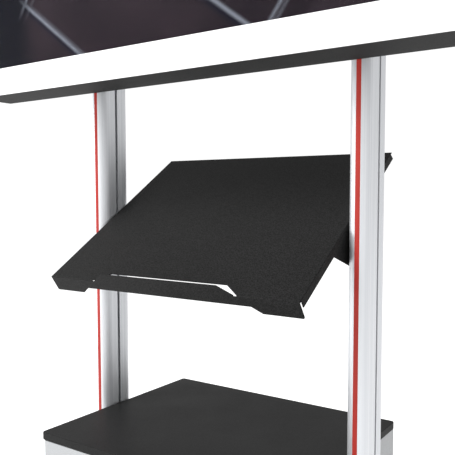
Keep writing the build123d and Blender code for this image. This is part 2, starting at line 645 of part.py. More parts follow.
# --- Display -----------------------------------------------------------------------------
def display_frame():
    """White front frame around the screen."""
    frame = block(DISPLAY_X, (DISPLAY_FRONT_Y, FRAME_REAR_Y), DISPLAY_Z)
    frame = fillet(frame.edges().filter_by(Axis.Y), DISPLAY_CORNER_RADIUS)
    frame = fillet(frame.edges().group_by(Axis.Y)[0], DISPLAY_EDGE_RADIUS)
    return frame - block(SCREEN_X, (DISPLAY_FRONT_Y - CUT, FRAME_REAR_Y + CUT), SCREEN_Z)


def screen_glass():
    """Cover glass, set slightly back in the front frame."""
    return block(SCREEN_X, (DISPLAY_FRONT_Y + SCREEN_SETBACK, FRAME_REAR_Y), SCREEN_Z)


def lcd_panel():
    """Picture module behind the glass."""
    x_range = (SCREEN_X[0] - LCD_MARGIN, SCREEN_X[1] + LCD_MARGIN)
    z_range = (SCREEN_Z[0] - LCD_MARGIN, SCREEN_Z[1] + LCD_MARGIN)
    return block(x_range, (FRAME_REAR_Y, FRAME_REAR_Y + LCD_THICKNESS), z_range)


def vents():
    """Rows of rounded ventilation slots near the bottom and top of the housing's back."""
    slot = extrude(Plane.XZ * SlotOverall(VENT_LENGTH, VENT_WIDTH), HOUSING_WALL + CUT, both=True)
    rows_height = VENT_PITCH_Z * (VENT_ROWS - 1)
    slots = []
    for start in (DISPLAY_Z[0] + VENT_MARGIN, DISPLAY_Z[1] - VENT_MARGIN - rows_height):
        for row in range(VENT_ROWS):
            for place in range(VENT_COLUMNS):
                x = (place - (VENT_COLUMNS - 1) / 2) * VENT_PITCH_X
                slots.append(Pos(x, DISPLAY_REAR_Y, start + row * VENT_PITCH_Z) * slot)
    return slots


def beads():
    """Raised beads that stiffen the back of the housing, outside the columns."""
    raised = []
    for place in BEAD_PLACES:
        for side in (-1, 1):
            x_range = (side * place - BEAD_WIDTH / 2, side * place + BEAD_WIDTH / 2)
            y_range = (DISPLAY_REAR_Y - HOUSING_WALL / 2, DISPLAY_REAR_Y + BEAD_HEIGHT)
            bead = block(x_range, y_range, (DISPLAY_Z[0] + BEAD_MARGIN, DISPLAY_Z[1] - BEAD_MARGIN))
            bead = fillet(bead.edges().filter_by(Axis.Y), BEAD_END_RADIUS)
            raised.append(chamfer(bead.faces().sort_by(Axis.Y)[-1].edges(), BEAD_HEIGHT / 2))
    return raised


def display_housing():
    """Dark rear housing: a shallow tray of sheet metal, open to the front."""
    housing = block(DISPLAY_X, (FRAME_REAR_Y, DISPLAY_REAR_Y), DISPLAY_Z)
    housing = fillet(housing.edges().filter_by(Axis.Y), DISPLAY_CORNER_RADIUS)
    housing = fillet(housing.edges().group_by(Axis.Y)[-1], DISPLAY_EDGE_RADIUS)
    inner_x = (DISPLAY_X[0] + HOUSING_WALL, DISPLAY_X[1] - HOUSING_WALL)
    inner_z = (DISPLAY_Z[0] + HOUSING_WALL, DISPLAY_Z[1] - HOUSING_WALL)
    housing -= block(inner_x, (FRAME_REAR_Y - CUT, HOUSING_INNER_Y), inner_z)
    housing += beads()
    housing -= vents()
    housing -= block(CONNECTOR_X, (HOUSING_INNER_Y - CUT, DISPLAY_REAR_Y + CUT), CONNECTOR_Z)
    for screw in display_screws():
        housing -= screw
        housing -= mirrored(screw)
    return housing


def socket_opening(x, width, height):
    """Rectangular cut through the connector panel round one socket."""
    z_range = (CONNECTOR_MIDDLE_Z - height / 2, CONNECTOR_MIDDLE_Z + height / 2)
    y_range = (CONNECTOR_FACE_Y - CONNECTOR_SHEET - CUT, CONNECTOR_FACE_Y + CUT)
    return block((x - width / 2, x + width / 2), y_range, z_range)


def connector_panel():
    """Recessed tray in the housing's back that holds the sockets and the mains inlet."""
    floor_y = CONNECTOR_FACE_Y - CONNECTOR_SHEET
    panel = block(CONNECTOR_X, (floor_y, DISPLAY_REAR_Y), CONNECTOR_Z)
    inner_x = (CONNECTOR_X[0] + CONNECTOR_SHEET, CONNECTOR_X[1] - CONNECTOR_SHEET)
    inner_z = (CONNECTOR_Z[0] + CONNECTOR_SHEET, CONNECTOR_Z[1] - CONNECTOR_SHEET)
    panel -= block(inner_x, (CONNECTOR_FACE_Y, DISPLAY_REAR_Y + CUT), inner_z)
    for x, width, height in SOCKET_SIZES:
        panel -= socket_opening(x, width, height)
    panel -= rod_y(AUDIO_X, (floor_y - CUT, CONNECTOR_FACE_Y + CUT), CONNECTOR_MIDDLE_Z, AUDIO_RADIUS)
    return panel - socket_opening(INLET_X, INLET_WIDTH, INLET_HEIGHT)


def connector_socket(x, width, height):
    """Flat signal socket, flush with the panel's face."""
    y_range = (CONNECTOR_FACE_Y - SOCKET_DEPTH, CONNECTOR_FACE_Y)
    z_range = (CONNECTOR_MIDDLE_Z - height / 2, CONNECTOR_MIDDLE_Z + height / 2)
    mouth_x = (x - width / 2 + SOCKET_WALL, x + width / 2 - SOCKET_WALL)
    mouth_z = (z_range[0] + SOCKET_WALL, z_range[1] - SOCKET_WALL)
    mouth_y = (y_range[0] + SOCKET_FLOOR, CONNECTOR_FACE_Y + CUT)
    return block((x - width / 2, x + width / 2), y_range, z_range) - block(mouth_x, mouth_y, mouth_z)


def connector_sockets():
    """Four flat signal sockets and a round audio socket."""
    sockets = [connector_socket(*size) for size in SOCKET_SIZES]
    y_range = (CONNECTOR_FACE_Y - SOCKET_DEPTH, CONNECTOR_FACE_Y)
    bore_y = (y_range[0] + SOCKET_FLOOR, CONNECTOR_FACE_Y + CUT)
    audio = rod_y(AUDIO_X, y_range, CONNECTOR_MIDDLE_Z, AUDIO_RADIUS)
    sockets.append(audio - rod_y(AUDIO_X, bore_y, CONNECTOR_MIDDLE_Z, AUDIO_BORE_RADIUS))
    return sockets


def power_inlet():
    """Mains inlet: a flanged cup with three flat pins."""
    back_y = CONNECTOR_FACE_Y - INLET_DEPTH
    flange = rounded(INLET_WIDTH + 2 * INLET_FLANGE, INLET_HEIGHT + 2 * INLET_FLANGE, INLET_FLANGE)
    inlet = extrude(Plane.XZ * flange, -CONNECTOR_SHEET)
    inlet = Pos(INLET_X, CONNECTOR_FACE_Y, CONNECTOR_MIDDLE_Z) * inlet
    half_width = INLET_WIDTH / 2
    half_height = INLET_HEIGHT / 2
    body_x = (INLET_X - half_width, INLET_X + half_width)
    body_z = (CONNECTOR_MIDDLE_Z - half_height, CONNECTOR_MIDDLE_Z + half_height)
    inlet += block(body_x, (back_y, CONNECTOR_FACE_Y + CONNECTOR_SHEET / 2), body_z)
    cup_x = (body_x[0] + INLET_WALL, body_x[1] - INLET_WALL)
    cup_z = (body_z[0] + INLET_WALL, body_z[1] - INLET_WALL)
    inlet -= block(cup_x, (back_y + INLET_WALL, CONNECTOR_FACE_Y + 2 * CONNECTOR_SHEET), cup_z)
    for x, z in INLET_PINS:
        pin_x = (INLET_X + x - INLET_PIN_WIDTH / 2, INLET_X + x + INLET_PIN_WIDTH / 2)
        pin_z = (CONNECTOR_MIDDLE_Z + z - INLET_PIN_HEIGHT / 2, CONNECTOR_MIDDLE_Z + z + INLET_PIN_HEIGHT / 2)
        inlet += block(pin_x, (back_y + INLET_WALL / 2, back_y + INLET_WALL + INLET_PIN_LENGTH), pin_z)
    return inlet


def controller():
    """Control electronics in their case, on the housing's back wall."""
    return board(CONTROLLER_X, (HOUSING_INNER_Y - CONTROLLER_DEPTH, HOUSING_INNER_Y), CONTROLLER_Z)


def power_supply():
    """Mains supply unit beside the controller."""
    return board(SUPPLY_X, (HOUSING_INNER_Y - SUPPLY_DEPTH, HOUSING_INNER_Y), SUPPLY_Z)


def display_bracket(middle):
    """Angle from the right column's inner face to the back of the display."""
    inner = COLUMN_FACE_X - BRACKET_THICKNESS
    z_range = (middle - BRACKET_HEIGHT / 2, middle + BRACKET_HEIGHT / 2)
    bracket = block((inner, COLUMN_FACE_X), (DISPLAY_REAR_Y, BRACKET_REAR_Y), z_range)
    front_leg_y = (DISPLAY_REAR_Y, DISPLAY_REAR_Y + BRACKET_THICKNESS)
    bracket += block((inner - BRACKET_REACH, COLUMN_FACE_X), front_leg_y, z_range)
    corner = bracket.edges().filter_by(Axis.Z).sort_by(lambda edge: edge.center().X - edge.center().Y)[-1]
    bracket = fillet(corner, BRACKET_BEND_RADIUS)
    for step in (-BRACKET_BOLT_OFFSET, BRACKET_BOLT_OFFSET):
        bracket -= rod_x((inner - CUT, COLUMN_FACE_X + CUT), 0, middle + step, BOLT_RADIUS)
    for screw in display_screws():
        bracket -= screw
    return bracket


def display_screws():
    """Screws through the right brackets' front legs into the housing."""
    x = COLUMN_FACE_X - BRACKET_THICKNESS - BRACKET_REACH / 2
    face = DISPLAY_REAR_Y + BRACKET_THICKNESS
    screws = []
    for z in bracket_bolt_heights():
        shank = rod_y(x, (DISPLAY_REAR_Y - NUT_THICKNESS, face), z, BOLT_RADIUS)
        screws.append(shank + rod_y(x, (face, face + BOLT_HEAD_HEIGHT), z, BOLT_HEAD_RADIUS))
    return screws


# --- Tray, drawn flat with its front fold on the X axis, then tilted ----------------------
def flat_shape(points, plane, thickness):
    """Sheet with the outline points, drawn on plane."""
    return extrude(plane * make_face(Polyline(*points, close=True)), thickness)


def tray_side_flange():
    """Right side flange: a narrow turned-down edge that widens to the ear round the pivot."""
    start = SHEET + CORNER_SLIT
    end = TRAY_LENGTH - start
    outline = [(start, -SHEET / 2), (start, -SIDE_FLANGE), (EAR_START, -SIDE_FLANGE),
               (EAR_START + EAR_SLOPE_RUN, -EAR_DEPTH), (EAR_END - EAR_SLOPE_RUN, -EAR_DEPTH),
               (EAR_END, -SIDE_FLANGE), (TRAY_LENGTH, -SIDE_FLANGE), (end, -SHEET / 2)]
    flange = flat_shape(outline, Plane.YZ.offset(HALF - SHEET), SHEET)
    flange = fillet(flange.edges().filter_by(Axis.X).group_by(Axis.Z)[0], EAR_CORNER_RADIUS)
    pivot_hole = BOLT_RADIUS + RUNNING_CLEARANCE
    return flange - rod_x((HALF - SHEET - CUT, HALF + CUT), PIVOT_ALONG, -PIVOT_BELOW, pivot_hole)


def tray_front_flange():
    """Turned-down front edge, notched in the middle, with rounded lower corners."""
    end = HALF - FRONT_FLANGE_TRIM
    outline = [(-end, -SHEET / 2), (-end, -FRONT_FLANGE), (-NOTCH_BOTTOM_HALF, -FRONT_FLANGE),
               (-NOTCH_TOP_HALF, -NOTCH_HEIGHT), (NOTCH_TOP_HALF, -NOTCH_HEIGHT),
               (NOTCH_BOTTOM_HALF, -FRONT_FLANGE), (end, -FRONT_FLANGE), (end, -SHEET / 2)]
    flange = flat_shape(outline, Plane.XZ, -SHEET)
    return fillet(flange.edges().filter_by(Axis.Y).group_by(Axis.Z)[0], FLANGE_CORNER_RADIUS)


def tray_lip():
    """Stop lip that stands up in line with the front flange."""
    outline = [(-LIP_BOTTOM_HALF, -2 * SHEET), (-LIP_BOTTOM_HALF, 0), (-LIP_TOP_HALF, LIP_HEIGHT),
               (LIP_TOP_HALF, LIP_HEIGHT), (LIP_BOTTOM_HALF, 0), (LIP_BOTTOM_HALF, -2 * SHEET)]
    lip = flat_shape(outline, Plane.XZ, -SHEET)
    return fillet(lip.edges().filter_by(Axis.Y).group_by(Axis.Z)[-1], FLANGE_CORNER_RADIUS)


def tray_hole():
    """Opening left in the panel where the lip was cut free."""
    far = SHEET + HOLE_DEPTH
    outline = [(-HOLE_NEAR_HALF, -CUT), (-HOLE_NEAR_HALF, SHEET), (-HOLE_FAR_HALF, far), (HOLE_FAR_HALF, far),
               (HOLE_NEAR_HALF, SHEET), (HOLE_NEAR_HALF, -CUT)]
    return flat_shape(outline, Plane.XY.offset(-SHEET - CUT / 2), SHEET + CUT)


def tray_panel():
    """The whole tray, folded from one sheet and tilted up to the rear."""
    side = tray_side_flange()
    tray = block((-HALF, HALF), (0, TRAY_LENGTH), (-SHEET, 0))
    tray += side + mirrored(side) + tray_front_flange()
    rear_end = HALF - SHEET - CORNER_SLIT
    tray += block((-rear_end, rear_end), (TRAY_LENGTH - SHEET, TRAY_LENGTH), (-SIDE_FLANGE, -SHEET / 2))
    tray = fillet(tray.edges().group_by(Axis.Z)[-1], BEND_RADIUS)
    return TRAY_PLANE.location * (tray - tray_hole() + tray_lip())


# --- Tray carriage -----------------------------------------------------------------------
def guide_plate():
    """Plate between the tray's right ear and the column, with a tongue in the slot."""
    x_range = (OUTER_WASHER_X[1], COLUMN_FACE_X - BODY_GAP)
    z_range = (PIVOT_Z - GUIDE_HALF_HEIGHT, PIVOT_Z + GUIDE_HALF_HEIGHT)
    plate = block(x_range, (-GUIDE_HALF_WIDTH, GUIDE_HALF_WIDTH), z_range)
    plate = fillet(plate.edges().filter_by(Axis.X), GUIDE_CORNER_RADIUS)
    tongue_half = SLOT_WIDTH / 2 - BODY_GAP
    plate += block((x_range[1], COLUMN_FACE_X + WALL - BODY_GAP), (-tongue_half, tongue_half),
                   (PIVOT_Z - TONGUE_HALF_HEIGHT, PIVOT_Z + TONGUE_HALF_HEIGHT))
    return plate - rod_x((x_range[0] - CUT, COLUMN_X), 0, PIVOT_Z, BOLT_RADIUS)


def pivot_bolt():
    """Cap screw through the right ear and guide plate into its slot nut; it clamps tilt and height."""
    nut_far_x = COLUMN_FACE_X + WALL + BODY_GAP + NUT_THICKNESS
    head_start = INNER_WASHER_X[0] - BOLT_HEAD_HEIGHT
    bolt = rod_x((INNER_WASHER_X[0], nut_far_x + BOLT_END), 0, PIVOT_Z, BOLT_RADIUS)
    bolt += rod_x((head_start, INNER_WASHER_X[0]), 0, PIVOT_Z, BOLT_HEAD_RADIUS)
    key = extrude(Plane.YZ * RegularPolygon(HEX_KEY_RADIUS, 6), HEX_KEY_DEPTH)
    return bolt - Pos(head_start, 0, PIVOT_Z) * key


def pivot_washers():
    """Friction washers on both sides of the tray's right ear."""
    bore = rod_x((INNER_WASHER_X[0] - CUT, OUTER_WASHER_X[1] + CUT), 0, PIVOT_Z, BOLT_RADIUS)
    return [rod_x(x_range, 0, PIVOT_Z, WASHER_RADIUS) - bore for x_range in (OUTER_WASHER_X, INNER_WASHER_X)]


# --- Nodes -------------------------------------------------------------------------------
def both_sides(name, shape, nodes):
    """Add a piece built on the right, and its mirror image on the left."""
    nodes["right_" + name] = shape
    nodes["left_" + name] = mirrored(shape)


def paired(solids):
    """One node of loose solids: the right-hand ones and their mirror images."""
    return group(solids + [mirrored(solid) for solid in solids])


def base_nodes(nodes):
    """Everything below the cabinet."""
    both_sides("foot_runner", foot_runner(), nodes)
    both_sides("base_plate", base_plate(), nodes)
    for side, place in ((-1, "front"), (1, "rear")):
        both_sides(place + "_end_cap", end_cap(side), nodes)
        both_sides(place + "_levelling_foot", levelling_foot(side), nodes)
    nodes["base_plate_screws"] = paired(base_screws())
    nodes["column_foot_screws"] = paired(column_screws())
    nodes["cross_tube"] = cross_tube()


def column_nodes(nodes):
    """Columns, their strips and caps, and the fasteners in their slots."""
    both_sides("column", column(), nodes)
    both_sides("front_insert", nose_insert(-1), nodes)
    both_sides("rear_insert", nose_insert(1), nodes)
    both_sides("column_cap", column_cap(), nodes)
    nodes["slot_bolts"] = paired(frame_bolts())
    nodes["slot_nuts"] = paired(frame_nuts())


def cabinet_nodes(nodes):
    """Cabinet, its shelf and its door."""
    side = cabinet_side()
    nodes["cabinet_top"] = cabinet_top()
    nodes["cabinet_right_side"] = side - lock_mortise()
    nodes["cabinet_left_side"] = mirrored(side)
    nodes["cabinet_floor"] = cabinet_floor()
    nodes["cabinet_back"] = cabinet_back()
    nodes["cabinet_shelf"] = shelf()
    nodes["shelf_pegs"] = paired(shelf_pegs())
    nodes["cabinet_spacers"] = paired(cabinet_spacers())
    nodes["cabinet_bolts"] = paired(cabinet_bolts())
    nodes["hinge_plate"] = hinge_plate()
    nodes["cabinet_door"] = door()
    nodes["door_hinge_pins"] = group(hinge_pins())
    nodes["door_knob"] = door_knob()
    nodes["door_lock"] = door_lock()


def display_nodes(nodes):
    """Display and its brackets."""
    nodes["display_frame"] = display_frame()
    nodes["screen_glass"] = screen_glass()
    nodes["lcd_panel"] = lcd_panel()
    nodes["display_housing"] = display_housing()
    nodes["display_controller"] = controller()
    nodes["display_power_supply"] = power_supply()
    nodes["connector_panel"] = connector_panel()
    nodes["connector_sockets"] = group(connector_sockets())
    nodes["power_inlet"] = power_inlet()
    for middle, place in zip(BRACKET_HEIGHTS, ("lower", "upper")):
        both_sides(place + "_display_bracket", display_bracket(middle), nodes)
    nodes["display_screws"] = paired(display_screws())


def tray_nodes(nodes):
    """Tray and the carriage that holds it between the columns."""
    nodes["tray_panel"] = tray_panel()
    both_sides("guide_plate", guide_plate(), nodes)
    both_sides("pivot_bolt", pivot_bolt(), nodes)
    nodes["tray_slot_nuts"] = paired([slot_nut(PIVOT_Z, BODY_GAP)])
    nodes["pivot_washers"] = paired(pivot_washers())


def main():
    """Build every node and write its STEP file."""
    os.makedirs("parts", exist_ok=True)
    nodes = {}
    for add in (base_nodes, column_nodes, cabinet_nodes, display_nodes, tray_nodes):
        add(nodes)
    for name, shape in nodes.items():
        export_step(shape, f"parts/{name}.step")
    print(len(nodes), "nodes; tray pivot", PIVOT_ALONG, "along the tray and", PIVOT_Z, "above the floor")


main()
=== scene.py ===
"""Looks of the two-column display workstation: materials, fine detail, light and camera."""
import json
from math import cos, pi, radians, sin

import bmesh
import bpy
from mathutils import Matrix, Vector


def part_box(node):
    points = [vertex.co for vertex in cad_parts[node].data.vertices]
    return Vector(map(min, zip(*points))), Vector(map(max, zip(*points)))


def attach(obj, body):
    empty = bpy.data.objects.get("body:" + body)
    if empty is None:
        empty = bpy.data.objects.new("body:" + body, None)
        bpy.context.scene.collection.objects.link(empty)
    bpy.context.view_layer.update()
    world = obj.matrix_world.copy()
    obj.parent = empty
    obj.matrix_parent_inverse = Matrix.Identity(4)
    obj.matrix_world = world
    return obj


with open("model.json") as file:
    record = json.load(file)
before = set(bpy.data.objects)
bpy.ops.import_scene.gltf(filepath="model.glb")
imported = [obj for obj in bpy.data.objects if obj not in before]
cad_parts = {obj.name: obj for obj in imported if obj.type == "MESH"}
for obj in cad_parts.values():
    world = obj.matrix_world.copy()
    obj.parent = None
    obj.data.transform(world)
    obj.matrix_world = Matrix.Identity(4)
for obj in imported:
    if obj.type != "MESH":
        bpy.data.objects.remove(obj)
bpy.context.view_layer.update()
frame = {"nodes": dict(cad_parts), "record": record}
NODES = frame["nodes"]

# --- Camera, in metres ------------------------------------------------------------------------
EYE = Vector((0.784, -1.094, 0.980))
EYE_RIGHT = Vector((0.8309, 0.5565, -0.0003))
EYE_FORWARD = Vector((-0.5554, 0.8291, -0.0646))
LENS_MM = 50.08
SENSOR_MM = 36.0
SHIFT = (-0.0308, 0.0198)

# --- Stage ------------------------------------------------------------------------------------
FLOOR_HALF = 30.0
FLOOR_GLOW = 0.42  # keeps the floor as white as the surroundings
FILL_STRENGTH = 0.74
BACKDROP_STRENGTH = 1.05

# --- Fine detail, in metres -------------------------------------------------------------------
SCREW_RADIUS = 0.0035
HOUSING_SCREW_INSET = 0.012
HOUSING_SCREWS = (9, 5)  # across and up
BACK_BOARD_SCREW_INSET = 0.010
BACK_BOARD_SCREWS = (6, 4)
RING_STEPS = 36  # points round a screw head
DOME_STEPS = 3
DOME_TURN = radians(60)
DOME_FLAT = 0.2  # share of the head's radius that stays out of the rounding
BAND_PROUD = 0.0004
BAND_SINK = 0.0010  # how far the band reaches into the board
BAND_INSET_Z = 0.0012  # from the board's faces to where the band leaves its edge
BAND_EASED_Z = 0.0018  # and to where the band is at its thickest
TOP_CORNER = 0.006
CORNER_STEPS = 8
CROSS_TUBE_HALF = 0.020
CROSS_PLATE = 0.006
WELD_PITCH = 0.0016
WELD_RADIUS = 0.0020
WELD_SINK = 0.3  # part of the radius by which a ripple's middle lies inside the plate

# --- Picture on the screen, in metres and radians ---------------------------------------------
TILE_SLANT = radians(-36.3)
TILE_WIDTH = 0.2497
TILE_LENGTH = 0.60
TILE_JOINT = 0.0065
TILE_OFFSET = 0.1208
TILE_CROSS_OFFSET = -0.014
DUSK_START = -0.46  # the picture is nearly black left of here
DUSK_END = -0.41


# --- Node material helpers -------------------------------------------------------------------
class Shader:
    """A node material under construction: a Principled BSDF with a few short ways to feed it."""

    def __init__(self, name):
        self.material = bpy.data.materials.new(name)
        self.material.use_nodes = True
        self.tree = self.material.node_tree
        self.bsdf = self.tree.nodes["Principled BSDF"]
        self.coords = self.tree.nodes.new("ShaderNodeTexCoord")

    def node(self, kind, **values):
        """New node; keyword values set its properties or, failing that, its inputs."""
        node = self.tree.nodes.new(kind)
        for key, value in values.items():
            if hasattr(node, key):
                setattr(node, key, value)
            else:
                node.inputs[key.replace("_", " ")].default_value = value
        return node

    def link(self, output, socket):
        """Connect an output to an input socket."""
        self.tree.links.new(output, socket)

    def set(self, **values):
        """Uniform values straight on the Principled BSDF's own sockets."""
        for key, value in values.items():
            self.bsdf.inputs[key.replace("_", " ")].default_value = value

    def place(self, scale=(1, 1, 1)):
        """Object coordinates, stretched by scale."""
        mapping = self.node("ShaderNodeMapping")
        mapping.inputs["Scale"].default_value = scale
        self.link(self.coords.outputs["Object"], mapping.inputs["Vector"])
        return mapping.outputs["Vector"]

    def noise(self, scale, detail=2.0, roughness=0.5, stretch=(1, 1, 1)):
        """Noise value from 0 to 1 at scale waves per metre."""
        texture = self.node("ShaderNodeTexNoise", Scale=scale, Detail=detail, Roughness=roughness)
        self.link(self.place(stretch), texture.inputs["Vector"])
        return texture.outputs["Fac"]

    def ramp(self, value, stops):
        """Colour ramp over value; stops are (position, colour) pairs."""
        node = self.node("ShaderNodeValToRGB")
        elements = node.color_ramp.elements
        while len(elements) < len(stops):
            elements.new(0.5)
        for element, (position, colour) in zip(elements, stops):
            element.position = position
            element.color = (*colour, 1)
        self.link(value, node.inputs["Fac"])
        return node.outputs["Color"]

    def spread(self, value, low, high):
        """Map 0..1 onto low..high."""
        node = self.node("ShaderNodeMapRange")
        node.inputs["To Min"].default_value = low
        node.inputs["To Max"].default_value = high
        self.link(value, node.inputs["Value"])
        return node.outputs["Result"]

    def spread_clamped(self, value, from_low, from_high, to_low, to_high):
        """Map from_low..from_high onto to_low..to_high, and hold the ends."""
        node = self.node("ShaderNodeMapRange")
        for socket, number in zip(node.inputs[1:5], (from_low, from_high, to_low, to_high)):
            socket.default_value = number
        self.link(value, node.inputs["Value"])
        return node.outputs["Result"]

    def math(self, operation, first, second):
        """Arithmetic on a socket and a socket or number."""
        node = self.node("ShaderNodeMath", operation=operation)
        self.link(first, node.inputs[0])
        if isinstance(second, float):
            node.inputs[1].default_value = second
        else:
            self.link(second, node.inputs[1])
        return node.outputs["Value"]

    def multiply(self, first, second):
        """Product of two colours."""
        node = self.node("ShaderNodeVectorMath", operation="MULTIPLY")
        self.link(first, node.inputs[0])
        self.link(second, node.inputs[1])
        return node.outputs["Vector"]

    def mix(self, amount, colour, other):
        """A colour socket that goes over to another plain colour as amount goes from 0 to 1."""
        node = self.node("ShaderNodeMix", data_type="RGBA")
        self.link(amount, node.inputs["Factor"])
        self.link(colour, node.inputs[6])
        node.inputs[7].default_value = (*other, 1)
        return node.outputs[2]

    def slanted_plane(self, slant):
        """Two coordinates in the upright XZ plane: across and along a direction that slants down to +X."""
        mapping = self.node("ShaderNodeMapping")
        mapping.inputs["Rotation"].default_value = (0, slant, 0)
        self.link(self.coords.outputs["Object"], mapping.inputs["Vector"])
        split = self.node("ShaderNodeSeparateXYZ")
        self.link(mapping.outputs["Vector"], split.inputs["Vector"])
        return split.outputs["Z"], split.outputs["X"]

    def axis(self, name):
        """One of the object coordinates."""
        split = self.node("ShaderNodeSeparateXYZ")
        self.link(self.coords.outputs["Object"], split.inputs["Vector"])
        return split.outputs[name]

    def bump(self, height, distance, strength):
        """Bump from height."""
        node = self.node("ShaderNodeBump", Strength=strength, Distance=distance)
        self.link(height, node.inputs["Height"])
        return node.outputs["Normal"]


def grey(value):
    """Neutral linear colour."""
    return (value, value, value)


def powder_coat(name, dark, light, grain=430.0, roughness=(0.55, 0.75), depth=0.00012, specular=0.15):
    """Fine-textured powder coat: small speckle in colour, gloss and height over a faint cloud."""
    shader = Shader(name)
    speckle = shader.noise(grain, 2.0, 0.7)
    cloud = shader.noise(7.0, 2.0, 0.5)
    coat = shader.ramp(speckle, [(0.40, dark), (0.60, light)])
    worn = shader.ramp(cloud, [(0.3, grey(0.90)), (0.7, grey(1.0))])
    shader.link(shader.multiply(coat, worn), shader.bsdf.inputs["Base Color"])
    shader.link(shader.spread(speckle, *roughness), shader.bsdf.inputs["Roughness"])
    pores = shader.noise(grain * 1.3, 2.0, 0.5)
    shader.link(shader.bump(pores, depth, 0.6), shader.bsdf.inputs["Normal"])
    shader.set(Specular_IOR_Level=specular)
    return shader.material


def anodised(name):
    """Satin anodised aluminium with faint extrusion lines that run up the column."""
    shader = Shader(name)
    shader.set(Metallic=0.75)
    fine = shader.noise(1400.0, 2.0, 0.5, (1, 1, 0.004))
    broad = shader.noise(260.0, 2.0, 0.6, (1, 1, 0.003))
    lines = shader.ramp(fine, [(0.3, (0.95, 0.955, 0.96)), (0.7, (1.0, 1.0, 1.0))])
    bands = shader.ramp(broad, [(0.32, (0.67, 0.685, 0.71)), (0.68, (0.77, 0.78, 0.80))])
    shader.link(shader.multiply(lines, bands), shader.bsdf.inputs["Base Color"])
    shader.link(shader.spread(fine, 0.42, 0.55), shader.bsdf.inputs["Roughness"])
    shader.link(shader.bump(fine, 0.00003, 0.3), shader.bsdf.inputs["Normal"])
    return shader.material


def moulded(name, dark, light, roughness=(0.38, 0.5), grain=1600.0, depth=0.00005, specular=0.4):
    """Moulded plastic with a fine even grain."""
    shader = Shader(name)
    grain_value = shader.noise(grain, 2.0, 0.5)
    cloud = shader.noise(14.0, 2.0, 0.5)
    shader.link(shader.ramp(cloud, [(0.3, dark), (0.7, light)]), shader.bsdf.inputs["Base Color"])
    shader.link(shader.spread(grain_value, *roughness), shader.bsdf.inputs["Roughness"])
    shader.link(shader.bump(grain_value, depth, 0.5), shader.bsdf.inputs["Normal"])
    shader.set(Specular_IOR_Level=specular)
    return shader.material


def laminate(name, dark, light, roughness=(0.42, 0.55), specular=0.3):
    """Board laminate: a satin skin with a fine pressed grain."""
    shader = Shader(name)
    cloud = shader.noise(9.0, 3.0, 0.5)
    pearl = shader.noise(520.0, 3.0, 0.6)
    skin = shader.ramp(pearl, [(0.36, dark), (0.64, light)])
    shade = shader.ramp(cloud, [(0.3, grey(0.94)), (0.7, grey(1.0))])
    shader.link(shader.multiply(skin, shade), shader.bsdf.inputs["Base Color"])
    shader.link(shader.spread(cloud, *roughness), shader.bsdf.inputs["Roughness"])
    shader.link(shader.bump(pearl, 0.00005, 0.4), shader.bsdf.inputs["Normal"])
    shader.set(Specular_IOR_Level=specular)
    return shader.material


def brushed(name, dark, light, stretch=(1, 0.02, 1), roughness=(0.25, 0.4)):
    """Metal with short brush marks along one axis."""
    shader = Shader(name)
    shader.set(Metallic=1.0)
    lines = shader.noise(2600.0, 2.0, 0.5, stretch)
    shader.link(shader.ramp(lines, [(0.3, dark), (0.7, light)]), shader.bsdf.inputs["Base Color"])
    shader.link(shader.spread(lines, *roughness), shader.bsdf.inputs["Roughness"])
    shader.link(shader.bump(lines, 0.00002, 0.3), shader.bsdf.inputs["Normal"])
    return shader.material


def cover_glass(name):
    """Clear anti-reflection glass: it only adds a faint soft sheen over the picture."""
    shader = Shader(name)
    smear = shader.noise(6.0, 3.0, 0.6)
    shader.set(Alpha=0.05)
    shader.set(Specular_IOR_Level=0.15)
    tint = shader.ramp(smear, [(0.3, grey(0.010)), (0.7, grey(0.014))])
    shader.link(tint, shader.bsdf.inputs["Base Color"])
    shader.link(shader.spread(smear, 0.10, 0.16), shader.bsdf.inputs["Roughness"])
    return shader.material


def joint_lines(shader, position, spacing, offset, width):
    """1 on evenly spaced lines across position, fading to 0 within width of each line."""
    shifted = shader.math("ADD", position, offset)
    distance = shader.math("PINGPONG", shifted, spacing / 2)
    return shader.spread_clamped(distance, 0.0, width, 1.0, 0.0)


def picture(name):
    """The picture on the screen: dark slate tiles laid aslant, with pale joints."""
    shader = Shader(name)
    across, along = shader.slanted_plane(TILE_SLANT)
    stone = shader.noise(5.0, 4.0, 0.6)
    slate = [(0.30, (0.012, 0.008, 0.014)), (0.52, (0.022, 0.015, 0.021)), (0.72, (0.033, 0.022, 0.030))]
    base = shader.ramp(stone, slate)
    shadow = joint_lines(shader, across, TILE_WIDTH, TILE_OFFSET + TILE_JOINT, 2.0 * TILE_JOINT)
    joint = joint_lines(shader, across, TILE_WIDTH, TILE_OFFSET, TILE_JOINT)
    cross = joint_lines(shader, along, TILE_LENGTH, TILE_CROSS_OFFSET, TILE_JOINT)
    shaded = shader.mix(shadow, base, (0.006, 0.006, 0.016))
    lined = shader.mix(shader.math("MAXIMUM", joint, cross), shaded, (0.24, 0.26, 0.31))
    dusk = shader.spread_clamped(shader.axis("X"), DUSK_START, DUSK_END, 1.0, 0.0)
    lined = shader.mix(dusk, lined, (0.001, 0.001, 0.006))
    shader.link(lined, shader.bsdf.inputs["Base Color"])
    shader.link(lined, shader.bsdf.inputs["Emission Color"])
    shader.set(Roughness=0.4)
    shader.set(Specular_IOR_Level=0.1)
    shader.set(Emission_Strength=0.25)
    return shader.material


